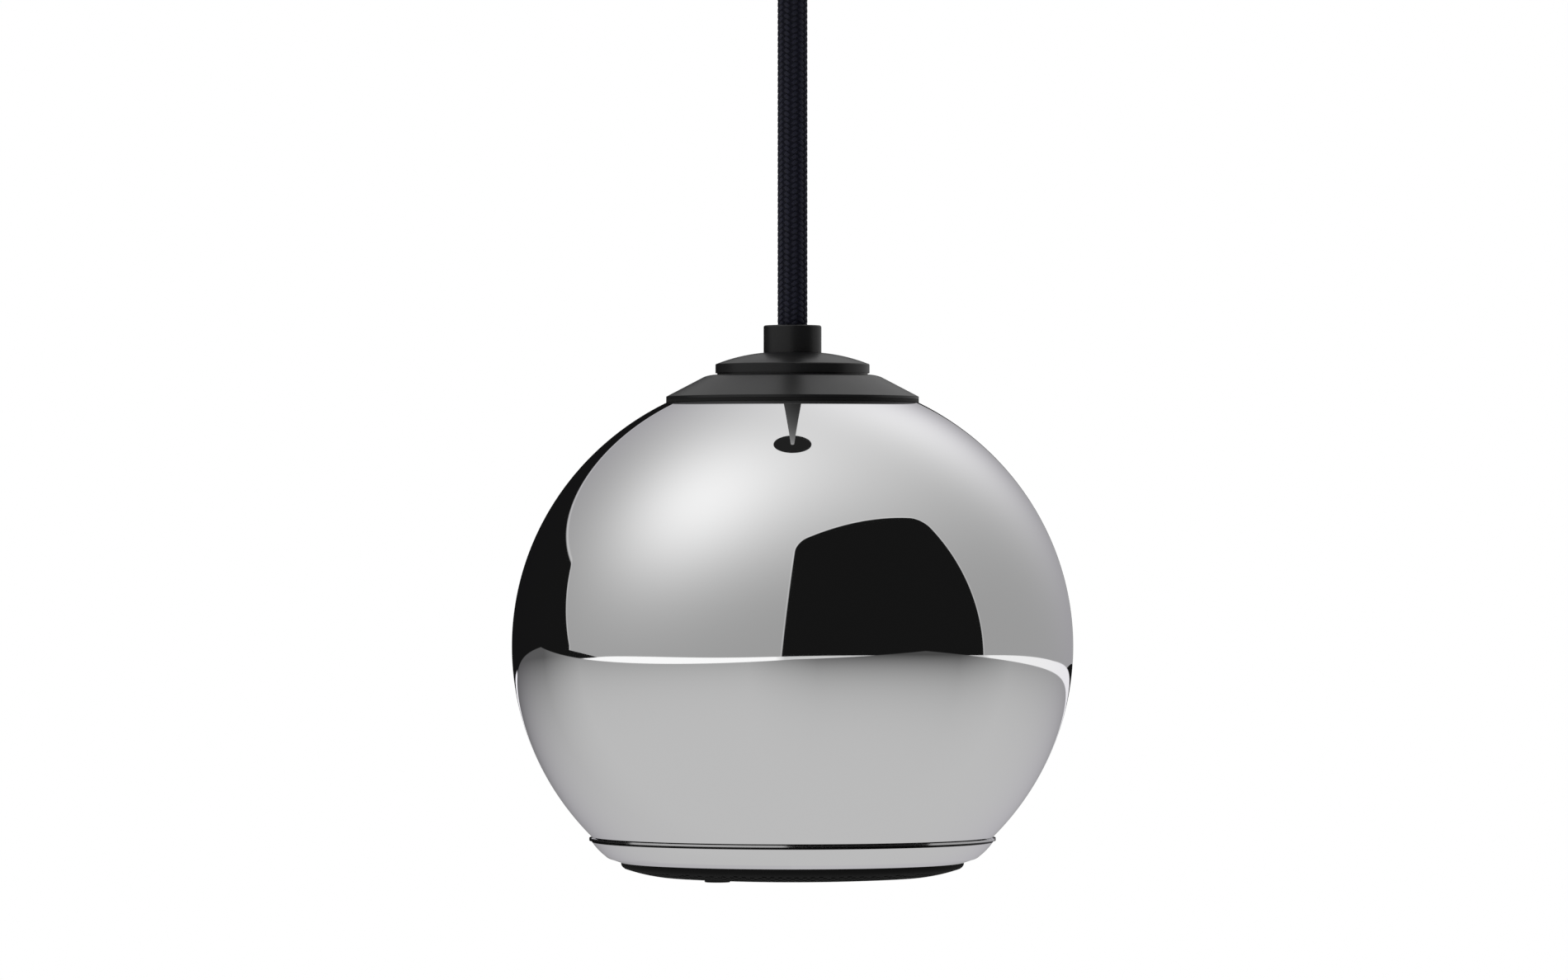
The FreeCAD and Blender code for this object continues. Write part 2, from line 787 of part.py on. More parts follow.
def grille_badge():
    """Plain button on the grille."""
    r = badge_d / 2
    high = grille_low + dome_rise(grille_flat_r, grille_crown_h, abs(badge_x) - r) - seat_gap
    low = high - badge_t
    edge = badge_t / 3
    button = turned((0, low), (r - edge, low), into_side(r, low, -edge), (r, high), (0, high))
    return moved(button, x=badge_x)


# Driver, from the ball's centre


def driver_gasket():
    outer = driver_r - hole_gap
    gasket = tube(outer - driver_gasket_w, outer, ledge_top, driver_z)
    return with_screw_holes(gasket, ledge_top, driver_z)


def basket():
    t = basket_t
    wall = basket_wall_t
    hole = gap_r + basket_step
    basket_solid = turned(
        (driver_opening_r, driver_z), (driver_r, driver_z), (driver_r, driver_z + t),
        (driver_opening_r + wall, driver_z + t), (basket_shelf_r, shelf_z + t), (basket_cup_r, shelf_z + t),
        (basket_cup_r, basket_top), (hole, basket_top), (hole, basket_top - t),
        (basket_cup_r - t, basket_top - t), (basket_cup_r - t, shelf_z),
        (basket_shelf_r - wall + t / 4, shelf_z), (driver_opening_r, driver_z + t),
    )
    window = lug_sector(basket_cup_r, driver_r, driver_z + basket_window_low, driver_z + basket_window_high,
                        basket_window_angle)
    for cutter in around(window, basket_window_count, 90):
        basket_solid = basket_solid.cut(cutter)
    return with_screw_holes(basket_solid, driver_z, driver_z + t)


def surround():
    """Rubber half roll between the cone's rim and the basket's flange."""
    t = surround_t
    roll = surround_roll_w / 2
    middle = cone_r + roll
    low = driver_z - t
    outer = driver_opening_r + surround_lip_w
    return turned(
        (cone_lip_r, low), (cone_r, low), ((middle, low - roll), (driver_opening_r, low)), (outer, low),
        (outer, driver_z), (driver_opening_r - t, driver_z),
        ((middle, low - roll + t), (cone_r + t, driver_z)), (cone_lip_r, driver_z),
    )


def cone_line(r):
    """Height of the cone's front face at radius r, a little flared towards its rim."""
    run = (cone_lip_r - r) / (cone_lip_r - former_r)
    return driver_z + cone_t + (cone_h - cone_t) * run ** cone_flare


def cone():
    t = cone_t
    middle = (cone_lip_r + former_r) / 2
    inner = former_r + seat_gap
    back = ((middle, cone_line(middle) + t), (inner, neck_z + t))
    return turned(
        (inner, neck_z), ((middle, cone_line(middle)), (cone_lip_r, driver_z)), (cone_r, driver_z),
        (cone_r, driver_z + t), (cone_lip_r, driver_z + t), back,
    )


def dust_cap():
    """Domed cap over the voice coil, glued to the cone's front."""
    t = cone_t
    r = dust_cap_d / 2
    inner_r = r - t
    rim = cone_line(r) - t
    low = rim - dust_cap_rise
    bend = dome_rise(r, dust_cap_rise, r / 2)
    inner_bend = t + dome_rise(inner_r, dust_cap_rise - t, inner_r / 2)
    return turned(
        (0, low), ((r / 2, low + bend), (r, rim)), (inner_r, rim),
        ((inner_r / 2, low + inner_bend), (0, low + t)),
    )


def coil_former():
    return tube(coil_d / 2, former_r, neck_z - former_foot, coil_mid + coil_h / 2)


def voice_coil():
    return tube(former_r + seat_gap, coil_r, coil_mid - coil_h / 2, coil_mid + coil_h / 2)


def spider():
    """Corrugated cloth ring that centres the coil."""
    t = spider_t
    outer = basket_shelf_r - basket_wall_t
    inner = former_r + moving_gap
    flat_r = outer - spider_lip_w
    low = shelf_z - t
    neck_r = inner + spider_neck_w
    wave = (flat_r - neck_r) / spider_waves
    under = []
    over = []
    for k in range(spider_waves):
        r = flat_r - k * wave
        dip = -spider_wave_h if k % 2 == 0 else spider_wave_h
        under.append(((r - wave / 2, low + dip), (r - wave, low)))
        over.append(((r - wave / 2, low + dip + t), (r, low + t)))
    return turned(
        (outer, shelf_z), (outer, low), (flat_r, low), *under, (inner, low), (inner, shelf_z),
        (neck_r, shelf_z), *reversed(over),
    )


def top_plate():
    return tube(gap_r, top_plate_d / 2, basket_top, top_plate_top)


def magnet():
    return tube(magnet_bore_d / 2, magnet_d / 2, top_plate_top, magnet_top)


def yoke():
    """Back plate and pole in one piece."""
    r = top_plate_d / 2
    edge = back_plate_t / 4
    return turned(
        (0, basket_top - pole_recess), (pole_r - edge, basket_top - pole_recess),
        (pole_r, basket_top - pole_recess + edge), (pole_r, magnet_top), (r, magnet_top),
        (r, yoke_top - edge), (r - edge, yoke_top), (0, yoke_top),
    )


def driver_screws():
    head_z = driver_z + basket_t
    length = head_z - trim_top + driver_screw_bite
    screw = pan_screw(driver_screw_d - 2 * thread_gap, length, driver_screw_head_d, driver_screw_head_h)
    screw = moved(screw, x=driver_screw_r, z=head_z)
    return Part.makeCompound(around(screw, driver_screw_count, screw_angle()))


def terminal_board():
    board = Part.makeBox(board_w, board_l, board_t, V(-board_w / 2, board_y, board_z))
    return rounded_slab(board, board_t, board_round)


def terminal_tags():
    tags = []
    for side in (-1, 1):
        tag = Part.makeBox(tag_w, tag_l, tag_t, V(-tag_w / 2, 0, 0))
        tag = rounded_slab(tag, tag_t, tag_round_share * tag_w)
        eye = moved(rod(tag_eye_d / 2, 0, tag_t), y=tag_l - tag_w / 2)
        tags.append(moved(tag.cut(eye), side * tag_pitch / 2, tag_y - tag_l / 2, tag_z))
    return Part.makeCompound(tags)


def tinsel_lead(side):
    """Braided lead from the cone's back, out through a window, to its tag."""
    x = side * tag_pitch / 2
    start_z = cone_line(tinsel_r) + 2 * cone_t
    return bent_wire([
        (x, tinsel_r, start_z),
        (x, tinsel_r + 2 * tinsel_loop / 3, start_z + tinsel_loop),
        (x, lead_y, start_z + 2 * tinsel_loop / 3),
        (x, lead_y, tag_z),
    ], tinsel_d)


def speaker_lead(side):
    """One of the cord's two wires, from its lower end, past the magnet, to its tag."""
    top_x = side * wire_pitch / 2
    low_x = side * tag_pitch / 2
    straight = lead_straight_share * (cord_end - yoke_top)
    return bent_wire([
        (top_x, 0, cord_end),
        (top_x, 0, cord_end - straight),
        (top_x * lead_spread, lead_over_share * top_plate_d / 2, yoke_top + wire_d + straight),
        (low_x, lead_y, yoke_top + wire_d),
        (low_x, lead_y, tag_z + tag_t),
    ], wire_d)


def wadding():
    """Fibre lining inside the upper shell."""
    outside = -shell_wall - wadding_gap
    inside = outside - wadding_t
    return turned(
        (oval_r(wadding_low, outside), wadding_low),
        (outside, (oval_r(wadding_high, outside), wadding_high)),
        (oval_r(wadding_high, inside), wadding_high),
        (inside, (oval_r(wadding_low, inside), wadding_low)),
    )


ceiling_parts = (
    rose_cover, rose_bracket, rose_cover_screws, rose_grip, rose_grip_screw, rose_grip_nut, terminal_block,
    terminal_screws, cord,
)
ball_parts = (
    gland_collar, cap_disc, cap_skirt, cap_gasket, cap_stem, clamp_plate, stem_washer, stem_nut,
    cord_anchor, anchor_screws, shell, mounting_ring, ring_seal, trim_ring, grille, grille_badge,
    driver_gasket, basket, surround, cone, dust_cap, coil_former, voice_coil, spider, top_plate, magnet,
    yoke, driver_screws, terminal_board, terminal_tags, wadding,
)

lead_sides = {"red": -1, "black": 1}


def save(name, shape):
    shape.exportStep(f"parts/{name}.step")


os.makedirs("parts", exist_ok=True)
for make in ceiling_parts:
    save(make.__name__, make())
for make in ball_parts:
    save(make.__name__, moved(make(), z=centre_z))
for colour, side in lead_sides.items():
    save(f"rose_lead_{colour}", rose_lead(side))
    save(f"tinsel_lead_{colour}", moved(tinsel_lead(side), z=centre_z))
    save(f"speaker_lead_{colour}", moved(speaker_lead(side), z=centre_z))
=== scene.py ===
"""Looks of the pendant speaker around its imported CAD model, in metres with +Z up.

Sizes without MM on the ball, the grille and other turned pieces are in millimetres.
"""

import math

import bmesh
import bpy
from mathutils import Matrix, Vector, noise
from mathutils.geometry import delaunay_2d_cdt
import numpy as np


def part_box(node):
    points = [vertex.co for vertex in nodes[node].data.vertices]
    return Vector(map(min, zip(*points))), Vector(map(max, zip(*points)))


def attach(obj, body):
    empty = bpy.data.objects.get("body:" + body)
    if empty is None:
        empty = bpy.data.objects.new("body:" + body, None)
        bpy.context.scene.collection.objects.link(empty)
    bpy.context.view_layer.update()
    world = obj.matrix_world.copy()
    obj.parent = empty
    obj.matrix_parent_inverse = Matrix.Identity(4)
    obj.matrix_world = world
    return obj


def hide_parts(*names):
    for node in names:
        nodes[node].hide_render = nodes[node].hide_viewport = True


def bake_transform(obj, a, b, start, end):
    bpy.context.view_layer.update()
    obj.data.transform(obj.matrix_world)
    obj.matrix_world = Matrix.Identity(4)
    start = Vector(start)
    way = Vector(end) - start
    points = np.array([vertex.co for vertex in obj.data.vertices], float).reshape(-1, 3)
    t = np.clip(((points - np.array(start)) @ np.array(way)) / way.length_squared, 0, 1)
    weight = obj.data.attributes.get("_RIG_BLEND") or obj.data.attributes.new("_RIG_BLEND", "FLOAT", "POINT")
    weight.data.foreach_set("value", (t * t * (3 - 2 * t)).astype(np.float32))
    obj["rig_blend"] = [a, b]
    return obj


MM = 0.001
HOUSING = "housing"
DIAPHRAGM = "diaphragm"
WHITE = (1, 1, 1, 1)

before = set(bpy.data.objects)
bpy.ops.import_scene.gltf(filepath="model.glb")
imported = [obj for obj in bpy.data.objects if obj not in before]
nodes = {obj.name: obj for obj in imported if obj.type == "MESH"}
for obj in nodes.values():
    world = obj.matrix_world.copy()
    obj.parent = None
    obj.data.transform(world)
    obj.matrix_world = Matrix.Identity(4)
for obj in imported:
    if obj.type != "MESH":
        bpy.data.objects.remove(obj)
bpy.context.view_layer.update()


# The ball, in millimetres from its centre

BALL_A = 63.5                   # half its width
BALL_B = 61.7                   # half its height, were it whole
TOP_HOLE_R = 22.0


def oval_z(r, grow=0.0):
    """Height of the ball's upper half at this radius, for a ball that is larger by grow all round."""
    return (BALL_B + grow) * math.sqrt(1 - (r / (BALL_A + grow)) ** 2)


BALL_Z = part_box("shell")[1].z - oval_z(TOP_HOLE_R) * MM     # its centre, below the ceiling


# Camera: level with the upper part of the ball, with the frame shifted as in the photograph

CAMERA_DISTANCE = 1.7
CAMERA_ABOVE_BALL = 0.0232
CAMERA_SIDE = -0.001924
SENSOR_W = 36
LENS = 172.42
CLIP_END = 100
PHOTO_W = 1900                  # pixels
PHOTO_SHIFT = 65


def photo_camera():
    camera = bpy.data.objects.new("camera", bpy.data.cameras.new("camera"))
    camera.location = (CAMERA_SIDE, -CAMERA_DISTANCE, BALL_Z + CAMERA_ABOVE_BALL)
    camera.rotation_euler = (math.pi / 2, 0, 0)
    camera.data.sensor_width = SENSOR_W
    camera.data.lens = LENS
    camera.data.shift_y = PHOTO_SHIFT / PHOTO_W
    camera.data.clip_end = CLIP_END
    bpy.context.scene.collection.objects.link(camera)
    bpy.context.scene.camera = camera
    bpy.context.scene.view_settings.view_transform = "Standard"


# Node trees, written as sums


class Val:
    """An output of a node tree, with Python's operators for the Math nodes behind it."""

    def __init__(self, tree, socket):
        self.tree, self.socket = tree, socket

    def __add__(self, other):
        return calc(self.tree, "ADD", self, other)

    def __sub__(self, other):
        return calc(self.tree, "SUBTRACT", self, other)

    def __rsub__(self, other):
        return calc(self.tree, "SUBTRACT", other, self)

    def __mul__(self, other):
        return calc(self.tree, "MULTIPLY", self, other)

    def __truediv__(self, other):
        return calc(self.tree, "DIVIDE", self, other)

    def __pow__(self, other):
        return calc(self.tree, "POWER", self, other)

    def __abs__(self):
        return calc(self.tree, "ABSOLUTE", self)

    __radd__ = __add__
    __rmul__ = __mul__

    def at_least(self, other):
        return calc(self.tree, "MAXIMUM", self, other)

    def at_most(self, other):
        return calc(self.tree, "MINIMUM", self, other)

    def below(self, other):
        """1 where self is less than other, else 0."""
        return calc(self.tree, "LESS_THAN", self, other)

    def clamped(self):
        """self, but from 0 to 1."""
        return calc(self.tree, "ADD", self, 0, clamp=True)

    def towards(self, other, share):
        """self where share is 0, other where it is 1."""
        return self + (other - self) * share


def feed(tree, socket, value):
    """Links a socket to a Val or to another socket, or sets it to a plain value."""
    if isinstance(value, Val):
        value = value.socket
    if isinstance(value, bpy.types.NodeSocket):
        tree.links.new(value, socket)
    else:
        socket.default_value = value


def add(tree, kind, inputs=(), **settings):
    """A new node with these settings, and its inputs fed by name or number."""
    made = tree.nodes.new(kind)
    for name, value in settings.items():
        setattr(made, name, value)
    for name, value in dict(inputs).items():
        feed(tree, made.inputs[name], value)
    return made


def calc(tree, operation, *values, clamp=False):
    """A Math node."""
    made = add(tree, "ShaderNodeMath", enumerate(values), operation=operation, use_clamp=clamp)
    return Val(tree, made.outputs[0])


def split(tree, vector):
    """The x, y and z of a vector's socket."""
    return [Val(tree, socket) for socket in add(tree, "ShaderNodeSeparateXYZ", {0: vector}).outputs]


def vector_math(tree, operation, *vectors):
    return add(tree, "ShaderNodeVectorMath", enumerate(vectors), operation=operation).outputs[0]


def object_place(tree):
    return add(tree, "ShaderNodeTexCoord").outputs["Object"]


def empty_tree(owner):
    """The node tree of a new world or material, with nothing in it."""
    owner.use_nodes = True
    owner.node_tree.nodes.clear()
    return owner.node_tree


# Surroundings, which the chrome mirrors: a pale room with a dark window and a dark panel

CHROME_REFLECTANCE = 0.95
TINY = 1e-6

SKY_BRIGHTNESS = 0.321
SKY_OVERHEAD = 0.273            # how much brighter it is straight up
SKY_CURVE = 2.854
LAMPS = (                       # azimuth, elevation, strength, spread
    (-65.9, 51.8, 0.388, 0.157),
    (156.7, 39.3, 0.374, 0.094),
)

OPENING_BRIGHTNESS = 0.0072
OPENING_SOFT = 0.009            # width of its soft edge, as a tangent
FRAME_W = 2.4                   # of the lighter frame around it, in widths of the soft edge
FRAME_BRIGHTNESS = 0.12         # more than the sky's
AHEAD_LEAST = 1e-4              # least cosine that its tangents are worked out with
AHEAD_SHARPNESS = 1000          # of the border between what is ahead and what is behind

WINDOW_AZIMUTH = 40
WINDOW_HALF_W = 0.968           # this and the other sizes of window and panel are tangents
WINDOW_TAPER = 0.14
WINDOW_TOP = 1.305
WINDOW_CORNER = 0.16

PANEL_AZIMUTH = -140
PANEL_LEFT = 1.03
PANEL_RIGHT = 0.731
PANEL_LEAN = 0.6
PANEL_BOW = 0.25
PANEL_TOP = 0.387
PANEL_CORNER = 0.02
PANEL_FOOT = -1.2               # elevation below which it widens, by the next two values a degree
PANEL_FOOT_LEFT = 0.72
PANEL_FOOT_RIGHT = 0.28

HORIZON_SOFT = 0.12             # height of the soft borders of strip and floor

STRIP_TOP = -3.0
STRIP_WAVES = ((-29, 34, -0.95), (100, 27, 0.4), (-94, 9, -0.48))       # azimuth, width, rise
STRIP_BEHIND = (135, 36, 0.55)                                          # from, width, rise
STRIP_LEFT = ((-98, -3, 4), (-190, -157, 3))                            # from, to, width of the soft ends
STRIP_RIGHT = (84, 190, 4)
STRIP_MIDDLE = (-8, 89, 4)
STRIP_BRIGHTNESS = 0.57
STRIP_LEFT_MORE = 0.37
STRIP_RIGHT_MORE = 0.27

FLOOR_BRIGHTNESS = 0.495
FLOOR_SIDES = ((-41, 6.29), (-19.3, 4.99), (130, 4.76))                 # azimuth, depth below the horizon
FLOOR_BACK = (152, 4.6)
FLOOR_BACK_MOST = 3.75
FLOOR_LEAST = 0.6
FLOOR_DARKEST = 2.7             # depth at which its shades stop growing
FLOOR_SHADES = (                # start, length, darkness, azimuths as in the strip
    (4, 7, 0.184, None),
    (4, 12, 0.19, (-18, 100, 28)),
    (3, 18, 0.175, (-190, -98, 25)),
)


def heading(azimuth, elevation=0):
    """A direction as x, y and z. Azimuths are in degrees from the camera's side, + towards +X."""
    a, e = math.radians(azimuth), math.radians(elevation)
    return math.sin(a) * math.cos(e), -math.cos(a) * math.cos(e), math.sin(e)


class Directions:
    """Where a ray points that leaves the ball, as values of the world's node tree."""

    def __init__(self, tree):
        self.tree = tree
        towards = add(tree, "ShaderNodeTexCoord").outputs["Generated"]
        self.x, self.y, self.z = split(tree, vector_math(tree, "NORMALIZE", towards))
        self.level = calc(tree, "SQRT", (self.x * self.x + self.y * self.y).at_least(TINY))
        self.elevation = calc(tree, "DEGREES", calc(tree, "ARCSINE", self.z))
        self.azimuth = calc(tree, "DEGREES", calc(tree, "ARCTAN2", self.along(90), self.along(0)))

    def along(self, azimuth, elevation=0):
        """Cosine of the angle to a direction."""
        hx, hy, hz = heading(azimuth, elevation)
        return self.x * hx + self.y * hy + self.z * hz

    def exponent(self, value):
        return calc(self.tree, "EXPONENT", value)

    def bump(self, middle, width):
        """1 at the azimuth middle, and less away from it."""
        share = (self.azimuth - middle) / width
        return self.exponent(share * share * -1)

    def between(self, low, high, soft):
        """1 between two azimuths, 0 beyond them."""
        return ((self.azimuth - low) / soft).clamped() * ((high - self.azimuth) / soft).clamped()


def open_sky(ray):
    sky = SKY_BRIGHTNESS + SKY_OVERHEAD * ray.z.at_least(0) ** SKY_CURVE
    for azimuth, elevation, strength, spread in LAMPS:
        sky = sky + ray.exponent((ray.along(azimuth, elevation) - 1) / spread) * strength
    return sky


def with_opening(ray, sky, azimuth, left, right, top, corner):
    """The sky with a dark opening in a lighter frame. Its edges are straight as seen from the ball.

    left and right give how far it reaches to its sides at each height v. All are tangents.
    """
    ahead = ray.along(azimuth).at_least(AHEAD_LEAST)
    u, v = ray.along(azimuth + 90) / ahead, ray.z / ahead
    over_side = ((u - right(v)).at_least(left(v) * -1 - u) + corner).at_least(0)
    over_top = (v - top + corner).at_least(0)
    beyond = calc(ray.tree, "SQRT", over_side * over_side + over_top * over_top) - corner
    in_front = (ray.along(azimuth) * AHEAD_SHARPNESS).clamped()
    framed = sky + (FRAME_W - beyond / OPENING_SOFT).clamped() * in_front * FRAME_BRIGHTNESS
    return framed.towards(OPENING_BRIGHTNESS, (0.5 - beyond / OPENING_SOFT).clamped() * in_front)


def with_window(ray, sky):
    def side(v):
        return WINDOW_HALF_W - v * WINDOW_TAPER

    return with_opening(ray, sky, WINDOW_AZIMUTH, side, side, WINDOW_TOP, WINDOW_CORNER)


def with_panel(ray, sky):
    below = (PANEL_FOOT - ray.elevation).at_least(0)

    def left(v):
        return PANEL_LEFT + below * PANEL_FOOT_LEFT

    def right(v):
        up = v.at_least(0)
        return PANEL_RIGHT - up * PANEL_LEAN - up * up * PANEL_BOW + below * PANEL_FOOT_RIGHT

    return with_opening(ray, sky, PANEL_AZIMUTH, left, right, PANEL_TOP, PANEL_CORNER)


def with_strip(ray, sky):
    """The sky with a bright strip at the foot of the walls."""
    start, width, rise = STRIP_BEHIND
    top = ((abs(ray.azimuth) - start) / width).clamped() * rise + STRIP_TOP
    for azimuth, width, rise in STRIP_WAVES:
        top = top + ray.bump(azimuth, width) * rise
    left = (ray.between(*STRIP_LEFT[0]) + ray.between(*STRIP_LEFT[1])).clamped()
    right = ray.between(*STRIP_RIGHT)
    brightness = left * STRIP_LEFT_MORE + right * STRIP_RIGHT_MORE + STRIP_BRIGHTNESS
    across = (left + right + ray.between(*STRIP_MIDDLE)).clamped()
    return sky.towards(brightness, ((top - ray.elevation) / HORIZON_SOFT).clamped() * across)


def with_floor(ray, sky):
    """The sky with the room's floor below it, which ends at the foot of the walls."""
    def wall(azimuth, depth):
        return ray.along(azimuth) / ray.level * depth

    edge = wall(*FLOOR_BACK).at_most(FLOOR_BACK_MOST).at_least(FLOOR_LEAST)
    for side in FLOOR_SIDES:
        edge = edge.at_least(wall(*side))
    depth = -1 * ray.elevation
    floor = FLOOR_BRIGHTNESS
    for start, length, darkness, azimuths in FLOOR_SHADES:
        shade = ray.exponent((depth.at_least(FLOOR_DARKEST) - start) / -length) * darkness
        floor = floor - (shade * ray.between(*azimuths) if azimuths else shade)
    return sky.towards(floor, ((depth - edge) / HORIZON_SOFT).clamped())


def studio():
    """A world that is plain white to the camera, and the room to all else."""
    world = bpy.data.worlds.new("studio")
    tree = empty_tree(world)
    ray = Directions(tree)
    room = with_floor(ray, with_strip(ray, with_panel(ray, with_window(ray, open_sky(ray)))))
    around = add(tree, "ShaderNodeBackground", {"Color": WHITE, "Strength": room / CHROME_REFLECTANCE})
    white = add(tree, "ShaderNodeBackground", {"Color": WHITE, "Strength": 1})
    path = add(tree, "ShaderNodeLightPath")
    mixed = add(tree, "ShaderNodeMixShader", {
        0: path.outputs["Is Camera Ray"], 1: around.outputs[0], 2: white.outputs[0],
    })
    add(tree, "ShaderNodeOutputWorld", {"Surface": mixed.outputs[0]})
    bpy.context.scene.world = world


# Materials

materials = {}


def pattern(tree, kind, scale, stretch=(1, 1, 1)):
    """A procedural pattern of about that many features to the metre, in the object's own space."""
    place = add(tree, "ShaderNodeMapping", {"Vector": object_place(tree), "Scale": stretch}).outputs[0]
    basis = {"Vector": place, "Scale": scale}

    def waves(inputs, **settings):
        return add(tree, "ShaderNodeTexWave", {**basis, **inputs}, **settings)

    if kind == "grain":
        made = add(tree, "ShaderNodeTexNoise", {**basis, "Detail": 3, "Roughness": 0.6})
    elif kind == "cells":
        made = add(tree, "ShaderNodeTexVoronoi", basis)
    elif kind == "turned":
        uneven = {"Distortion": 0.6, "Detail": 2, "Detail Scale": 2}
        made = waves(uneven, wave_type="RINGS", rings_direction="Z")
    elif kind == "weave":
        bands = [
            waves({"Distortion": 0.3}, wave_type="BANDS", bands_direction=axis).outputs["Fac"]
            for axis in "XY"
        ]
        return calc(tree, "MULTIPLY", *bands)
    elif kind == "wound":
        made = waves({"Distortion": 0.1}, wave_type="BANDS", bands_direction="Z")
    return Val(tree, made.outputs["Distance" if kind == "cells" else "Fac"])


def brightened(colour, factor):
    return tuple(min(1, part * factor) for part in colour) + (1,)


def surface(name, colour, rough, kind="grain", scale=1500, relief=0.02, stretch=(1, 1, 1), metal=0.0,
            variation=0.12, rough_variation=0.06, sheen=0.0, edge_tint=None, cloudy=60, specular=0.5):
    """A material with a fine pattern in its relief, and slow changes of its colour and roughness.

    scale and cloudy are the fine and the slow pattern's features to the metre, relief is in millimetres.
    """
    material = bpy.data.materials.new(name)
    tree = empty_tree(material)
    fine = pattern(tree, kind, scale, stretch)
    slow = pattern(tree, "grain", cloudy)
    tone = add(tree, "ShaderNodeMix", {
        "Factor": (fine * 0.5 + slow * 0.5).clamped(),
        6: brightened(colour, 1 - variation),
        7: brightened(colour, 1 + variation),
    }, data_type="RGBA").outputs[2]
    shader = add(tree, "ShaderNodeBsdfPrincipled", {
        "Base Color": tone, "Metallic": metal, "Roughness": (slow - 0.5) * (2 * rough_variation) + rough,
        "Sheen Weight": sheen, "Sheen Roughness": 0.4, "Specular IOR Level": specular,
    })
    if relief:
        raised = add(tree, "ShaderNodeBump", {"Height": fine, "Strength": 1.0, "Distance": relief * MM})
        feed(tree, shader.inputs["Normal"], raised.outputs[0])
    if edge_tint:
        feed(tree, shader.inputs["Specular Tint"], edge_tint)
    add(tree, "ShaderNodeOutputMaterial", {"Surface": shader.outputs[0]})
    materials[name] = material


surface("chrome", (0.95, 0.95, 0.952), 0.02, scale=300, relief=0, metal=1, variation=0.004,
        rough_variation=0.012, edge_tint=(0.93, 0.915, 0.96, 1))
surface("black_plastic", (0.012, 0.012, 0.013), 0.34, scale=2600, relief=0.004)
surface("rose_black", (0.012, 0.012, 0.013), 0.38, scale=1400, relief=0.012)
surface("grille_black", (0.0165, 0.0165, 0.0165), 0.7, scale=2200, relief=0.006, specular=0.02)
surface("zinc_steel", (0.62, 0.63, 0.65), 0.3, "turned", 900, relief=0.003, metal=1)
surface("basket_black", (0.02, 0.02, 0.021), 0.45, "cells", 1100, relief=0.03)
surface("ferrite", (0.06, 0.06, 0.065), 0.62, scale=1800, relief=0.03, variation=0.3)
surface("rubber_black", (0.008, 0.008, 0.008), 0.55, scale=2500, relief=0.008, specular=0.32)
surface("cord_textile", (0.011, 0.012, 0.034), 0.65, scale=3600, relief=0.05, stretch=(1, 1, 0.35),
        variation=0.45, sheen=0.14, cloudy=240)
surface("cone_black", (0.02, 0.02, 0.022), 0.75, "cells", 900, relief=0.05, variation=0.35)
surface("aluminium_foil", (0.75, 0.76, 0.77), 0.28, scale=700, relief=0.01, metal=1)
surface("copper_wire", (0.72, 0.36, 0.18), 0.3, "wound", 800, relief=0.08, metal=1)
surface("spider_cloth", (0.55, 0.38, 0.14), 0.8, "weave", 500, relief=0.12, variation=0.35)
surface("wadding_white", (0.85, 0.85, 0.82), 0.95, scale=900, relief=0.5, stretch=(1, 0.25, 1),
        variation=0.1, sheen=0.3, cloudy=120)
surface("block_white", (0.82, 0.82, 0.8), 0.35, scale=1500, relief=0.006, variation=0.04)
surface("brass_screw", (0.75, 0.6, 0.28), 0.25, "turned", 1200, relief=0.003, metal=1)
surface("board_brown", (0.3, 0.17, 0.08), 0.5, scale=1200, relief=0.02, stretch=(1, 0.2, 1), variation=0.3)
surface("tinned_tag", (0.7, 0.7, 0.68), 0.3, scale=1300, relief=0.01, metal=1)
surface("wire_red", (0.55, 0.03, 0.02), 0.4, scale=1800, relief=0.006)
surface("wire_black", (0.02, 0.02, 0.02), 0.4, scale=1800, relief=0.006)
surface("tinsel_copper", (0.66, 0.4, 0.24), 0.4, "weave", 900, relief=0.1, metal=1)
surface("nylon_clear", (0.75, 0.74, 0.7), 0.4, scale=1500, relief=0.006, variation=0.05)


# Chrome rings that are black in places; along the mounting ring's foot the black is painted shade

# black of the rings' dark parts, which on the mounting ring's foot is painted shade
BLACKING_AND_SHADE = (0.01, 0.01, 0.01, 1)
TRIM_SEAT_R = 38.93 * MM        # the trim ring is blacked inside this, where the grille sits
TRIM_INWARD = -0.6              # and where it looks at the axis, as the cosine from outward
RING_EDGE_R = 45.2 * MM         # the mounting ring is blacked inside this
RING_FOOT_SHADE = 0.16 * MM           # and up to this height above its underside, as painted shade of the dark gap there
RING_ROUND = 0.055              # how far its normals tilt upward, as if its edge were a little rounded
RING_ROUGH = 0.13


def blacked(name, where):
    """Chrome, turned black where this function of radius, height and facing outward gives 1; on the mounting
    ring's foot that black is painted shade.
    """
    material = materials["chrome"].copy()
    material.name = name
    tree = material.node_tree
    x, y, z = split(tree, object_place(tree))
    facing_x, facing_y, _ = split(tree, add(tree, "ShaderNodeNewGeometry").outputs["Normal"])
    out = calc(tree, "SQRT", x * x + y * y)
    outward = (x * facing_x + y * facing_y) / out.at_least(TINY)
    shader = tree.nodes["Principled BSDF"]
    polished = shader.inputs["Base Color"].links[0].from_socket
    tone = add(tree, "ShaderNodeMix", {
        "Factor": where(out, z, outward).clamped(), 6: polished, 7: BLACKING_AND_SHADE,
    }, data_type="RGBA")
    feed(tree, shader.inputs["Base Color"], tone.outputs[2])
    return material


def trim_chrome():
    def where(out, z, outward):
        return outward.below(TRIM_INWARD) + out.below(TRIM_SEAT_R)

    return blacked("trim_chrome", where)


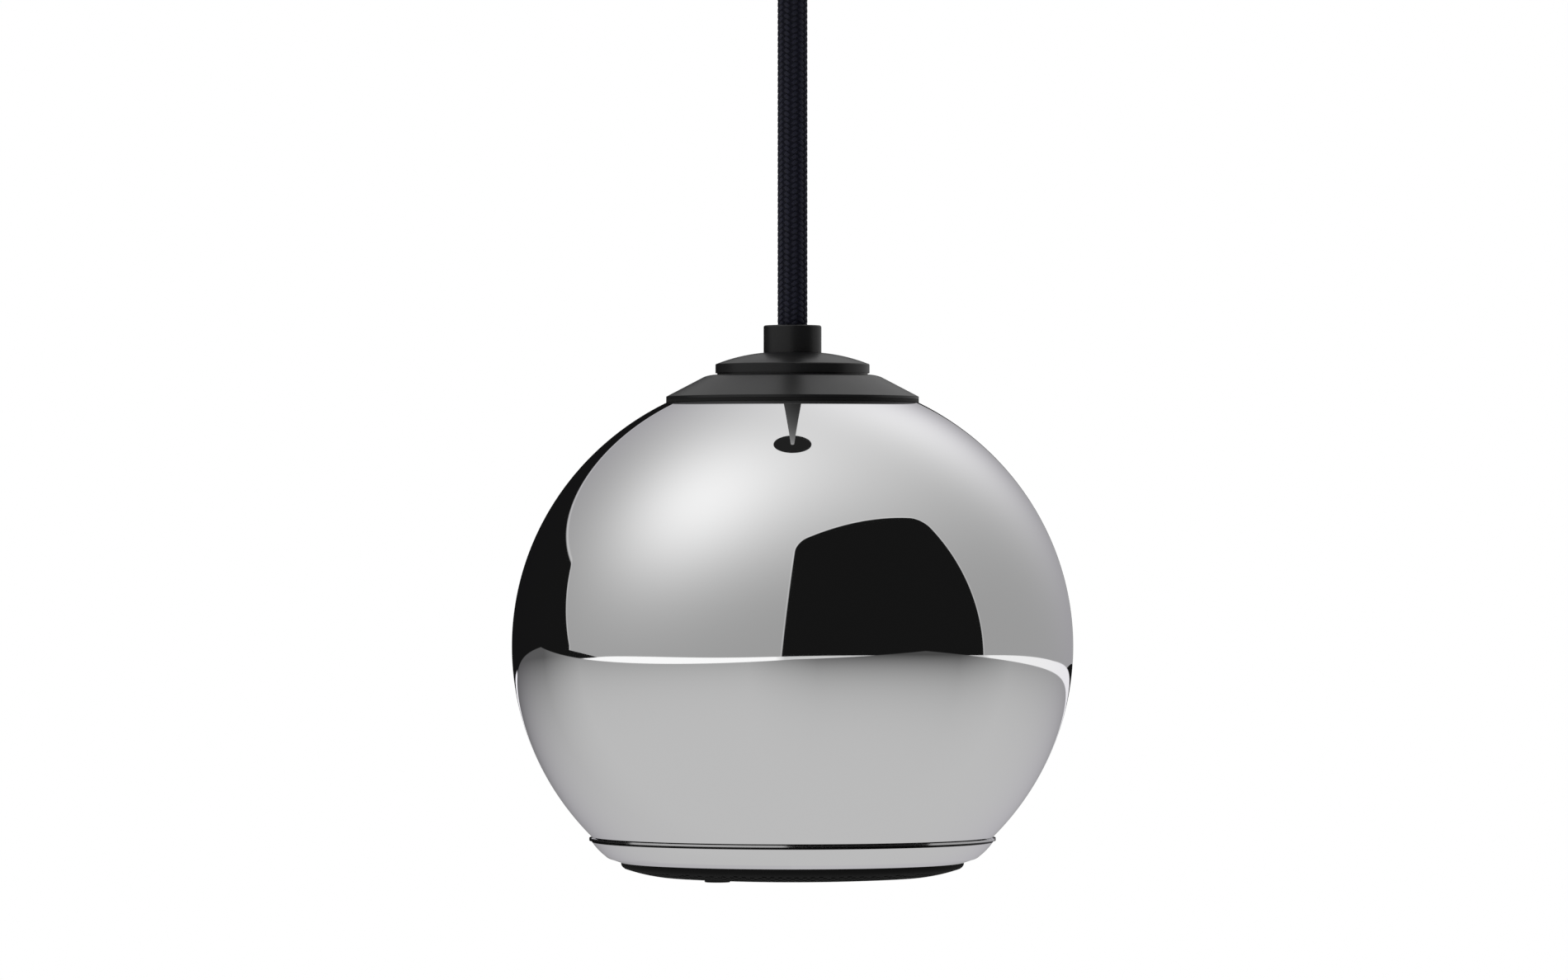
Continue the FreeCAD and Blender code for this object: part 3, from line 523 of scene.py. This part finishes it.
def ring_chrome():
    """Chrome at the edge in the groove, black further in, and painted shade of the dark gap along the edge's
    foot. Its normals tilt a little upward, as if the edge were rounded, so that the edge mirrors what lies
    higher.
    """
    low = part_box("mounting_ring")[0].z

    def where(out, z, outward):
        return out.below(RING_EDGE_R) + z.below(low + RING_FOOT_SHADE)

    material = blacked("ring_chrome", where)
    tree = material.node_tree
    shader = tree.nodes["Principled BSDF"]
    facing = add(tree, "ShaderNodeNewGeometry").outputs["Normal"]
    tilted = vector_math(tree, "ADD", facing, (0, 0, RING_ROUND))
    feed(tree, shader.inputs["Normal"], vector_math(tree, "NORMALIZE", tilted))
    tree.links.remove(shader.inputs["Roughness"].links[0])
    shader.inputs["Roughness"].default_value = RING_ROUGH
    return material


def cad_materials():
    for node in nodes.values():
        for slot in node.material_slots:
            slot.material = materials[slot.material.name]
    nodes["mounting_ring"].material_slots[0].material = ring_chrome()
    nodes["trim_ring"].material_slots[0].material = trim_chrome()


# Mesh helpers


def piece(name, slot, points, faces):
    mesh = bpy.data.meshes.new(name)
    mesh.from_pydata(points, [], faces)
    mesh.validate()
    mesh.shade_smooth()
    mesh.materials.append(materials[slot])
    made = bpy.data.objects.new(name, mesh)
    bpy.context.scene.collection.objects.link(made)
    return made


def circle(radius, steps, start=0.0):
    """Points around a circle as (x, y). The first one is start steps on."""
    angles = [2 * math.pi * (k + start) / steps for k in range(steps)]
    return [(radius * math.cos(angle), radius * math.sin(angle)) for angle in angles]


def pairs_round(loop):
    """Each item of a closed loop with the next one."""
    return list(zip(loop, loop[1:] + loop[:1]))


def lathed(name, slot, outline, steps):
    """A closed outline of (radius, height) in millimetres, turned about the Z axis.

    The outline may be a function of the angle.
    """
    points, faces = [], []
    for step in range(steps):
        angle = 2 * math.pi * step / steps
        shape = outline(angle) if callable(outline) else outline
        points += [(r * math.cos(angle) * MM, r * math.sin(angle) * MM, z * MM) for r, z in shape]
        count = len(shape)
        here, there = step * count, (step + 1) % steps * count
        faces += [(here + a, there + a, there + b, here + b) for a, b in pairs_round(list(range(count)))]
    return piece(name, slot, points, faces)


def add_tube(points, faces, rings, sides, size):
    """Adds a closed tube to a mesh. A ring is its middle and two cross axes, size is the two radii."""
    start = len(points)
    for middle, across, out in rings:
        points += [middle + across * (size[0] * a) + out * (size[1] * b) for a, b in circle(1, sides)]
    for ring in range(len(rings) - 1):
        here = start + ring * sides
        there = here + sides
        faces += [(here + a, here + b, there + b, there + a) for a, b in pairs_round(list(range(sides)))]
    faces.append([start + k for k in reversed(range(sides))])
    faces.append([len(points) - sides + k for k in range(sides)])


def upright_ring(middle):
    return middle, Vector((1, 0, 0)), Vector((0, 1, 0))


def sharpen(made, degrees):
    """Edges that turn more than this stay sharp in the shading."""
    edited = bmesh.new()
    edited.from_mesh(made.data)
    bmesh.ops.recalc_face_normals(edited, faces=edited.faces)
    limit = math.radians(degrees)
    for edge in edited.edges:
        edge.smooth = edge.is_manifold and edge.calc_face_angle(0) < limit
    edited.to_mesh(made.data)
    edited.free()


def route_line(points):
    """Points on the smooth NURBS line that has these as its control points."""
    curve = bpy.data.curves.new("route", "CURVE")
    curve.dimensions = "3D"
    spline = curve.splines.new("NURBS")
    spline.points.add(len(points) - 1)
    for made, point in zip(spline.points, points):
        made.co = (*point, 1)
    spline.order_u = 3
    spline.use_endpoint_u = True
    curve.resolution_u = 32
    holder = bpy.data.objects.new("route", curve)
    line = [v.co.copy() for v in bpy.data.meshes.new_from_object(holder).vertices]
    bpy.data.objects.remove(holder)
    return line


def line_place(line, share):
    """The point at that share of the line's length."""
    left = share * sum((b - a).length for a, b in zip(line, line[1:]))
    for a, b in zip(line, line[1:]):
        run = (b - a).length
        if left <= run:
            return a.lerp(b, left / run)
        left -= run
    return line[-1].copy()


# The cord, a round core in a braid of two sets of yarns, each over two and under two of the other

CORD_TOP = -11.5 * MM
CORD_END = -149.722 * MM
CORD_D = 6.7 * MM
CORD_SIDES = 24
YARNS = 12
YARN_LEAD = 15.6 * MM
YARN_SEGMENTS = 3               # between two crossings
YARN_SIDES = 6
YARN_W = 1.16 * MM
YARN_T = 0.42 * MM
YARN_WAVE = 0.14 * MM
BRAID_R = CORD_D / 2 - (YARN_T + YARN_WAVE) / 2
YARN_SLOPE = 2 * math.pi * BRAID_R / YARN_LEAD
ROSE_NODES = ("rose_", "terminal_block", "terminal_screws")     # how their names start


def yarn_rings(places, crossings, yarn, way):
    """Rings of one yarn, which winds one way around the cord's line and waves over and under the others."""
    rings = []
    for k, place in enumerate(places):
        crossing = crossings * k / (len(places) - 1)
        angle = 2 * math.pi * (yarn / YARNS + way * crossing / (2 * YARNS))
        lift = way * math.cos(math.pi / 2 * (2 * yarn + way * crossing - 0.5))
        out = Vector((math.cos(angle), math.sin(angle), 0))
        around = Vector((-math.sin(angle), math.cos(angle), 0)) * way
        across = (around + Vector((0, 0, YARN_SLOPE))).normalized()
        rings.append((place + out * (BRAID_R + YARN_WAVE * lift), across, out))
    return rings


def braided_cord():
    line = route_line([(0, 0, CORD_TOP), (0, 0, (CORD_TOP + CORD_END) / 2), (0, 0, CORD_END)])
    core_r = BRAID_R - YARN_WAVE
    points, faces = [], []
    add_tube(points, faces, [upright_ring(line_place(line, share)) for share in (0, 1)], CORD_SIDES,
             (core_r, core_r))
    crossings = 2 * YARNS * (CORD_TOP - CORD_END) / YARN_LEAD
    steps = int(crossings * YARN_SEGMENTS)
    places = [line_place(line, step / steps) for step in range(steps + 1)]
    for way in (1, -1):
        for yarn in range(YARNS):
            rings = yarn_rings(places, crossings, yarn, way)
            add_tube(points, faces, rings, YARN_SIDES, (YARN_W / 2, YARN_T / 2))
    made = piece("cord_braid", "cord_textile", points, faces)
    made.visible_glossy = False
    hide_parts("cord")
    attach(made, HOUSING)


# The shell, turned finely enough to mirror its surroundings without a ripple

SHELL_WALL = 1.5
SHELL_STEPS = 288
OUTSIDE_ROWS = 150
INSIDE_ROWS = 40
EDGE_R = 45.45
OPENING_R = 43.8
NOTCH_R = 44.6                  # the bayonet's notches, in the opening's edge
NOTCH_ANGLE = 26.0
NOTCH_COUNT = 3


def oval_run(start_r, end_r, grow, rows):
    """Points down the ball from start_r on its upper half to end_r on its lower half, evenly spaced."""
    a, b = BALL_A + grow, BALL_B + grow
    first, last = math.asin(start_r / a), math.pi - math.asin(end_r / a)
    angles = [first + (last - first) * k / rows for k in range(rows + 1)]
    return [(a * math.sin(angle), b * math.cos(angle)) for angle in angles]


def shell():
    outside = oval_run(TOP_HOLE_R, EDGE_R, 0, OUTSIDE_ROWS)
    inside = oval_run(TOP_HOLE_R, OPENING_R, -SHELL_WALL, INSIDE_ROWS)

    def outline(angle):
        pitch = 360 / NOTCH_COUNT
        off = abs(math.degrees(angle) % pitch - pitch / 2)
        edge_r = NOTCH_R if off < NOTCH_ANGLE / 2 else OPENING_R
        edge = [(edge_r, outside[-1][1]), (edge_r, -oval_z(edge_r, -SHELL_WALL))]
        return [(r, z + BALL_Z / MM) for r, z in outside + edge + inside[-2::-1]]

    made = lathed("shell_polished", "chrome", outline, SHELL_STEPS)
    sharpen(made, degrees=25)
    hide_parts("shell")
    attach(made, HOUSING)


# The grille, a domed plate with round holes, in millimetres from the ball's centre

GRILLE_R = 38.8
GRILLE_T = 0.8
GRILLE_STEPS = 240
CROWN_Z = -53.039
DOME_R = 30.6                   # where the dome goes over into the steeper shoulder
DOME_Z = -52.039
SHOULDER_R = 38.0
SHOULDER_Z = -50.289
SHOULDER_BULGE = 0.19
GRILLE_BACK_Z = -47.889
ROLLED_EDGE = (
    (38.42, -49.98), (38.7, -49.62), (GRILLE_R, -49.24), (GRILLE_R, GRILLE_BACK_Z),
    (GRILLE_R - GRILLE_T, GRILLE_BACK_Z), (GRILLE_R - GRILLE_T, -49.1), (37.86, -49.36),
)
HOLE_R = 0.58
HOLE_SIDES = 10
HOLE_PITCH = 1.8
HOLE_ROW = HOLE_PITCH * math.sqrt(3) / 2
HOLES_R = 36.6                  # no hole's middle lies further out
BADGE_X = -17.0
BADGE_R = 2.9
UNDER_BADGE = ((0, 1), (1.2, 8), (2.4, 8))      # radius and count of points, for the curve under the button
SAME_PLACE = 1e-5               # points nearer than this are one


def grille_height(r):
    """Height of the plate's outer face, from its crown to its shoulder."""
    if r < DOME_R:
        return CROWN_Z + (DOME_Z - CROWN_Z) * (r / DOME_R) ** 2
    share = (r - DOME_R) / (SHOULDER_R - DOME_R)
    return DOME_Z + (SHOULDER_Z - DOME_Z) * share - 4 * SHOULDER_BULGE * share * (1 - share)


def hole_middle(i, j):
    """Middle of hole i in row j of a triangular pattern."""
    return HOLE_PITCH * (i + j / 2), HOLE_ROW * j


def hole_pattern():
    """The (i, j) of each hole: those on the plate and clear of its button."""
    reach = int(HOLES_R / HOLE_PITCH) + 4
    found = []
    for i in range(-reach, reach + 1):
        for j in range(-reach, reach + 1):
            x, y = hole_middle(i, j)
            if math.hypot(x, y) < HOLES_R and math.hypot(x - BADGE_X, y) > BADGE_R + HOLE_R:
                found.append((i, j))
    return found


def in_hole(x, y, holes):
    """Whether a point is nearer than a hole's radius to the middle of one of these holes."""
    row = round(y / HOLE_ROW)
    for j in (row - 1, row, row + 1):
        i = round(x / HOLE_PITCH - j / 2)
        hole_x, hole_y = hole_middle(i, j)
        if (i, j) in holes and math.hypot(x - hole_x, y - hole_y) < HOLE_R:
            return True
    return False


def flat_plate():
    """The plate's places as seen from below, its triangles, the loops round its holes and its rim."""
    holes = hole_pattern()
    flat, loops = [], []
    for hole in holes:
        x, y = hole_middle(*hole)
        loops.append(list(range(len(flat), len(flat) + HOLE_SIDES)))
        flat += [Vector((x + a, y + b)) for a, b in circle(HOLE_R, HOLE_SIDES, 0.5)]
    rim = list(range(len(flat), len(flat) + GRILLE_STEPS))
    flat += [Vector(point) for point in circle(SHOULDER_R, GRILLE_STEPS)]
    for radius, count in UNDER_BADGE:
        flat += [Vector((BADGE_X + a, b)) for a, b in circle(radius, count)]
    edges = [pair for loop in (*loops, rim) for pair in pairs_round(loop)]
    places, _, triangles, *_ = delaunay_2d_cdt(flat, edges, [], 0, SAME_PLACE)
    found = set(holes)
    kept = []
    for corners in triangles:
        middle = sum((places[c] for c in corners), Vector((0, 0))) / 3
        if not in_hole(middle.x, middle.y, found):
            kept.append(corners)
    return places, kept, loops, rim


def perforated_grille():
    places, triangles, loops, rim = flat_plate()
    top = len(places)
    points = [(p.x, p.y, grille_height(p.length)) for p in places]
    points += [(p.x, p.y, grille_height(p.length) + GRILLE_T) for p in places]
    faces = [tuple(reversed(corners)) for corners in triangles]
    faces += [tuple(top + c for c in corners) for corners in triangles]
    for loop in loops:
        faces += [(a, b, top + b, top + a) for a, b in pairs_round(loop)]
    rings = [rim]
    for r, z in ROLLED_EDGE:
        rings.append(list(range(len(points), len(points) + GRILLE_STEPS)))
        points += [(x, y, z) for x, y in circle(r, GRILLE_STEPS)]
    rings.append([top + c for c in rim])
    for low, high in zip(rings, rings[1:]):
        faces += [(a, b, d, c) for (a, b), (c, d) in zip(pairs_round(low), pairs_round(high))]
    placed = [(x * MM, y * MM, BALL_Z + z * MM) for x, y, z in points]
    made = piece("grille_plate", "grille_black", placed, faces)
    made.visible_glossy = False
    sharpen(made, degrees=40)
    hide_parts("grille")
    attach(made, HOUSING)


# Surround and spider, which bend between the housing and the moving cone, in millimetres

DRIVER_Z = BALL_Z / MM - 40.939         # the basket's front, above the surround
SHELF_Z = DRIVER_Z + 14.0               # the basket's shelf, above the spider
CLOTH_T = 0.4

SURROUND_R = 36.5
SURROUND_INNER_R = 29.7
ROLL_MIDDLE_R = 33.1
ROLL_R = 2.1
ROLL_ROWS = 16
ROLL_EDGE = 1.7                 # from the middle of the roll to its edge on the upper face
SURROUND_BENDS = (31.0, 35.2)
SURROUND_STEPS = 160

SPIDER_R = 24.63
SPIDER_INNER_R = 13.1
SPIDER_NECK_R = 14.1
SPIDER_WAVE = 2.31
SPIDER_DIPS = (-0.9, 0.9, -0.9)
SPIDER_WAVE_ROWS = 8
SPIDER_STEPS = 128


def arc(start, end, rise, steps):
    """Points from start to end on an arc whose middle lies rise above the line between them."""
    (r1, z1), (r2, z2) = start, end
    made = []
    for k in range(steps + 1):
        share = k / steps
        made.append((r1 + (r2 - r1) * share, z1 + (z2 - z1) * share + rise * math.sin(math.pi * share)))
    return made


def suspended(made, node, inner_r, outer_r):
    """Rides on the diaphragm up to inner_r and on the housing from outer_r, and bends between them."""
    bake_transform(made, HOUSING, DIAPHRAGM, start=(0, 0, 0), end=(0, 0, 0.1))
    weights = made.data.attributes["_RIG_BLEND"].data
    for vertex, weight in zip(made.data.vertices, weights):
        r = math.hypot(vertex.co.x, vertex.co.y) / MM
        share = min(1, max(0, (outer_r - r) / (outer_r - inner_r)))
        weight.value = share * share * (3 - 2 * share)
    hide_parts(node)


def surround():
    low, high = DRIVER_Z - CLOTH_T, DRIVER_Z

    def roll(radius):
        angles = [math.pi * k / ROLL_ROWS for k in range(ROLL_ROWS + 1)]
        return [(ROLL_MIDDLE_R - radius * math.cos(a), low - radius * math.sin(a)) for a in angles]

    outline = [
        (SURROUND_INNER_R, low), *roll(ROLL_R), (SURROUND_R, low),
        (SURROUND_R, high), (ROLL_MIDDLE_R + ROLL_EDGE, high), *reversed(roll(ROLL_R - CLOTH_T)),
        (ROLL_MIDDLE_R - ROLL_EDGE, high), (SURROUND_INNER_R, high),
    ]
    made = lathed("surround_roll", "rubber_black", outline, SURROUND_STEPS)
    sharpen(made, degrees=50)
    suspended(made, "surround", *SURROUND_BENDS)


def spider():
    low = SHELF_Z - CLOTH_T
    under = [(SPIDER_INNER_R, low), (SPIDER_NECK_R, low)]
    for dip in SPIDER_DIPS:
        start = under[-1]
        under += arc(start, (start[0] + SPIDER_WAVE, low), dip, SPIDER_WAVE_ROWS)[1:]
    flat_r = under[-1][0]
    under.append((SPIDER_R, low))
    outline = under + [(r, z + CLOTH_T) for r, z in reversed(under)]
    made = lathed("spider_ring", "spider_cloth", outline, SPIDER_STEPS)
    sharpen(made, degrees=50)
    suspended(made, "spider", SPIDER_NECK_R, flat_r)


# Tinsel leads, which bend from the cone to the terminal tags

TINSEL_R = 0.5 * MM
TINSEL_SIDES = 8
TINSEL_CONE_Y = 19.56 * MM
TINSEL_TAG_Y = 34.489 * MM
TINSEL_TAG_Z = -206.151 * MM
TINSEL_FOOT = 0.28 * MM         # height of its cone end in its box


def tinsel_lead(colour):
    low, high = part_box(f"tinsel_lead_{colour}")
    x = (low.x + high.x) / 2
    start_z = low.z + TINSEL_FOOT
    line = route_line([
        (x, TINSEL_CONE_Y, start_z),
        (x, TINSEL_CONE_Y + 2 * MM, start_z + 3 * MM),
        (x, TINSEL_TAG_Y, start_z + 2 * MM),
        (x, TINSEL_TAG_Y, TINSEL_TAG_Z),
    ])
    across = Vector((1, 0, 0))
    rings = []
    for k, place in enumerate(line):
        ahead = line[min(k + 1, len(line) - 1)] - line[max(k - 1, 0)]
        rings.append((place, across, ahead.normalized().cross(across)))
    points, faces = [], []
    add_tube(points, faces, rings, TINSEL_SIDES, (TINSEL_R, TINSEL_R))
    made = piece(f"tinsel_{colour}", "tinsel_copper", points, faces)
    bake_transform(made, DIAPHRAGM, HOUSING, start=(0, TINSEL_CONE_Y + MM, 0), end=(0, TINSEL_TAG_Y - MM, 0))
    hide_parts(f"tinsel_lead_{colour}")


# Fibre wadding in the upper half of the ball

WADDING_R = 61.4
WADDING_INNER_R = 53.4
WADDING_ROWS = 14
WADDING_STEPS = 144
FIBRE_SIZE = 9 * MM
FIBRE_NOISE = (1.0, 2.0, 4)     # roughness, step in size and number of the noise's octaves
FIBRE_PRESS = 0.36 * MM         # least depth of its rough faces
FIBRE_DEPTH = 0.96 * MM


def fibre_wadding():
    low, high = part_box("wadding")
    low_z, high_z = (low.z - BALL_Z) / MM, (high.z - BALL_Z) / MM
    heights = [low_z + (high_z - low_z) * k / WADDING_ROWS for k in range(WADDING_ROWS + 1)]

    def face(radius, levels):
        """Points on an oval with the ball's proportions."""
        half = radius * BALL_B / BALL_A
        return [(radius * math.sqrt(1 - (z / half) ** 2), z + BALL_Z / MM) for z in levels]

    outline = face(WADDING_R, heights) + face(WADDING_INNER_R, heights[::-1])
    made = lathed("wadding_fleece", "wadding_white", outline, WADDING_STEPS)
    middle = Vector((0, 0, BALL_Z))
    for vertex in made.data.vertices:
        out = vertex.co - middle
        rough = noise.fractal(vertex.co / FIBRE_SIZE, *FIBRE_NOISE)
        side = 1 if out.length > (WADDING_R + WADDING_INNER_R) / 2 * MM else -1
        vertex.co -= out.normalized() * side * (FIBRE_PRESS + abs(rough) * FIBRE_DEPTH)
        vertex.co.z = min(high.z, max(low.z, vertex.co.z))
    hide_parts("wadding")
    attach(made, HOUSING)


# Stage: the far rose and the cord up to it, which only the chrome shows and which glow with painted light,
# and a plain white floor

FAR_ROSE_HEIGHT = 0.42          # above the ball's centre, where the photographed cord ended
FAR_ROSE_R = 0.0378
# painted light: the far rose's glow stands for the dark rose as it is lit
FAR_ROSE_GLOW = (0.015, 0.015, 0.015, 1)
# glow of the far cord, painted light standing for the lit cord
FAR_CORD_BRIGHTNESS = 0.028
FAR_CORD_SIDE_SHADE = 0.012           # painted shade: how much darker its right edge glows than its middle
FAR_CORD_LIGHT_RISE = 0.8             # painted light: how much brighter it glows to the metre, above the height where it starts
FAR_CORD_LIGHT_RISE_START = 0.09
FLOOR_R = 30
FLOOR_Z = -2.7
DISC_STEPS = 96
NOT_MIRRORED = (*ROSE_NODES, "mounting_ring", "grille_badge")


def glowing(name, points, faces, colour):
    """A stage piece that gives light of one colour."""
    mesh = bpy.data.meshes.new(name)
    mesh.from_pydata(points, [], faces)
    material = bpy.data.materials.new(name)
    tree = empty_tree(material)
    shader = add(tree, "ShaderNodeEmission", {"Color": colour})
    add(tree, "ShaderNodeOutputMaterial", {"Surface": shader.outputs[0]})
    mesh.materials.append(material)
    made = bpy.data.objects.new(name, mesh)
    bpy.context.scene.collection.objects.link(made)
    return made


def glowing_disc(name, radius, z, colour):
    points = [(x, y, z) for x, y in circle(radius, DISC_STEPS)]
    return glowing(name, points, [tuple(range(DISC_STEPS))], colour)


def mirrored_only(made):
    made.visible_camera = False
    made.visible_diffuse = False
    made.visible_shadow = False
    made.visible_transmission = False


def far_cord(top):
    """The cord from the cap to the far rose, glowing with painted light that grows with its height, and with
    painted shade on its right side.
    """
    points, faces = [], []
    rings = [upright_ring(Vector((0, 0, z))) for z in (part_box("gland_collar")[1].z, top)]
    add_tube(points, faces, rings, CORD_SIDES, (CORD_D / 2, CORD_D / 2))
    made = glowing("far_cord", points, faces, WHITE)
    mirrored_only(made)
    tree = made.data.materials[0].node_tree
    x, _, z = split(tree, object_place(tree))
    # painted light growing with its height, and painted shade towards its right side
    painted_light = (z - (BALL_Z + FAR_CORD_LIGHT_RISE_START)).at_least(0) * FAR_CORD_LIGHT_RISE
    lit = FAR_CORD_BRIGHTNESS + painted_light - (x / (CORD_D / 2)) * FAR_CORD_SIDE_SHADE
    feed(tree, tree.nodes["Emission"].inputs["Strength"], lit / CHROME_REFLECTANCE)


def stage():
    top = BALL_Z + FAR_ROSE_HEIGHT
    mirrored_only(glowing_disc("far_rose", FAR_ROSE_R, top, FAR_ROSE_GLOW))
    far_cord(top)
    for name, node in nodes.items():
        if name.startswith(NOT_MIRRORED):
            node.visible_glossy = False
    floor = glowing_disc("floor", FLOOR_R, FLOOR_Z, WHITE)
    floor.visible_glossy = False
    floor.visible_diffuse = False


photo_camera()
studio()
cad_materials()
braided_cord()
shell()
perforated_grille()
surround()
spider()
tinsel_lead("red")
tinsel_lead("black")
fibre_wadding()
stage()
